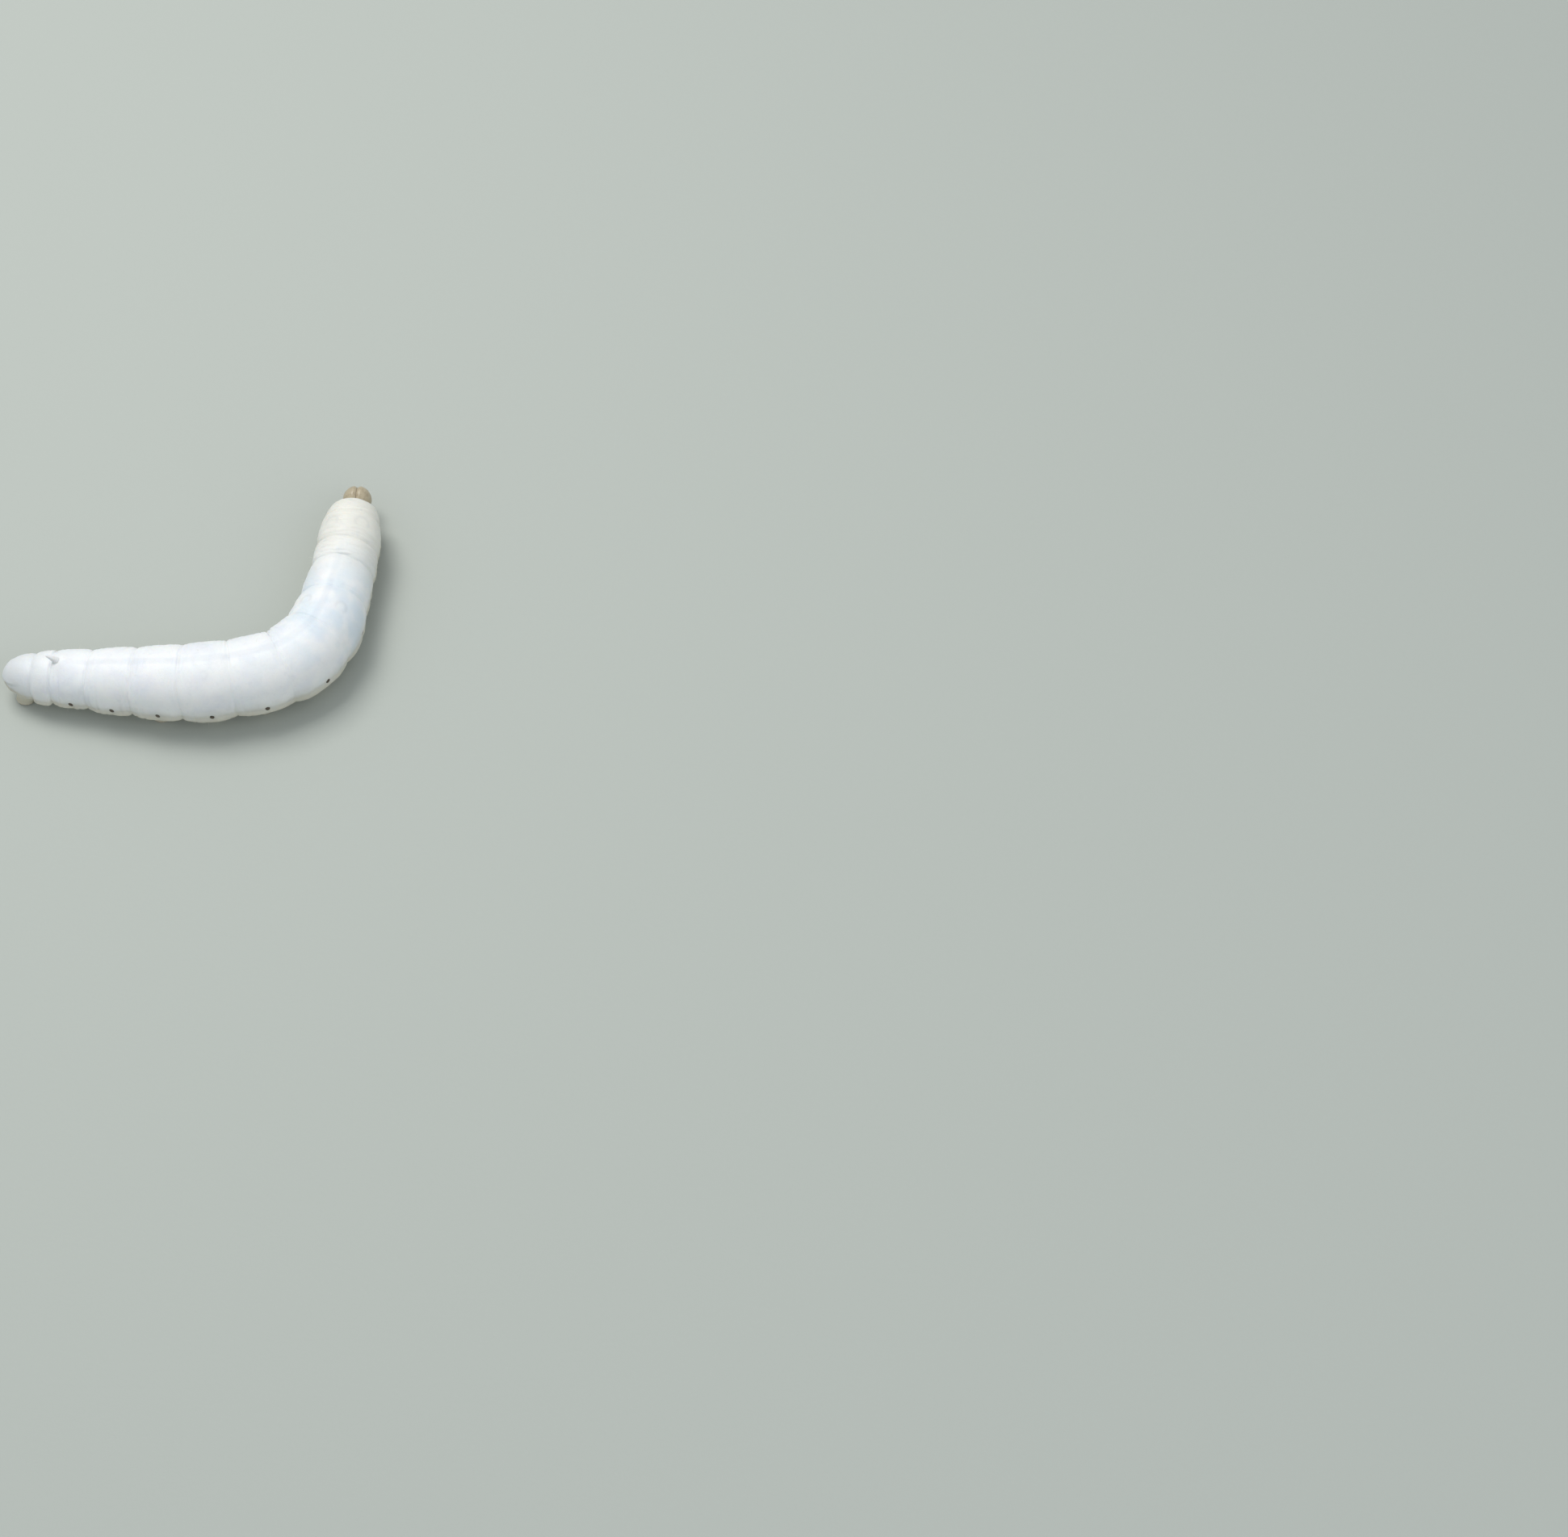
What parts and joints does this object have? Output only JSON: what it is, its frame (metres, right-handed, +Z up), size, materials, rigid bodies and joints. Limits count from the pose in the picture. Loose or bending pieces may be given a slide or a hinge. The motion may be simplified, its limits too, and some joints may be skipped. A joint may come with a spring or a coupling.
{
  "type": "silkworm",
  "caption": "Full-grown silkworm larva, a still life-size model bent in a J, standing on its legs, prolegs and claspers.",
  "frame": {"origin": "on the floor, under the middle of the worm's own box", "axes": "+X to the right of the picture, along the hind half from the tail; +Y away from the camera, the way the head points; +Z up"},
  "size_m": [0.0474, 0.0364, 0.0104],
  "materials": {
    "white_skin": "soft satin, thin and slightly translucent",
    "cream_skin": "soft satin, finely wrinkled",
    "beige_skin": "soft satin",
    "brown_horn": "glossy, hard chitin"
  },
  "bodies": {
    "root": {"head": "brown_horn", "antenna_left": "brown_horn", "antenna_right": "brown_horn", "prothorax": "cream_skin", "mesothorax": "cream_skin", "metathorax": "cream_skin", "abdomen_1": "white_skin", "abdomen_2": "white_skin", "abdomen_3": "white_skin", "abdomen_4": "white_skin", "abdomen_5": "white_skin", "abdomen_6": "white_skin", "abdomen_7": "white_skin", "abdomen_8": "white_skin", "abdomen_9": "white_skin", "anal_segment": "white_skin", "horn": "cream_skin", "leg_prothorax_left": "brown_horn", "leg_prothorax_right": "brown_horn", "leg_mesothorax_left": "brown_horn", "leg_mesothorax_right": "brown_horn", "leg_metathorax_left": "brown_horn", "leg_metathorax_right": "brown_horn", "proleg_3_left": "beige_skin", "proleg_3_right": "beige_skin", "proleg_4_left": "beige_skin", "proleg_4_right": "beige_skin", "proleg_5_left": "beige_skin", "proleg_5_right": "beige_skin", "proleg_6_left": "beige_skin", "proleg_6_right": "beige_skin", "clasper_left": "beige_skin", "clasper_right": "beige_skin"}
  },
  "joints": []
}
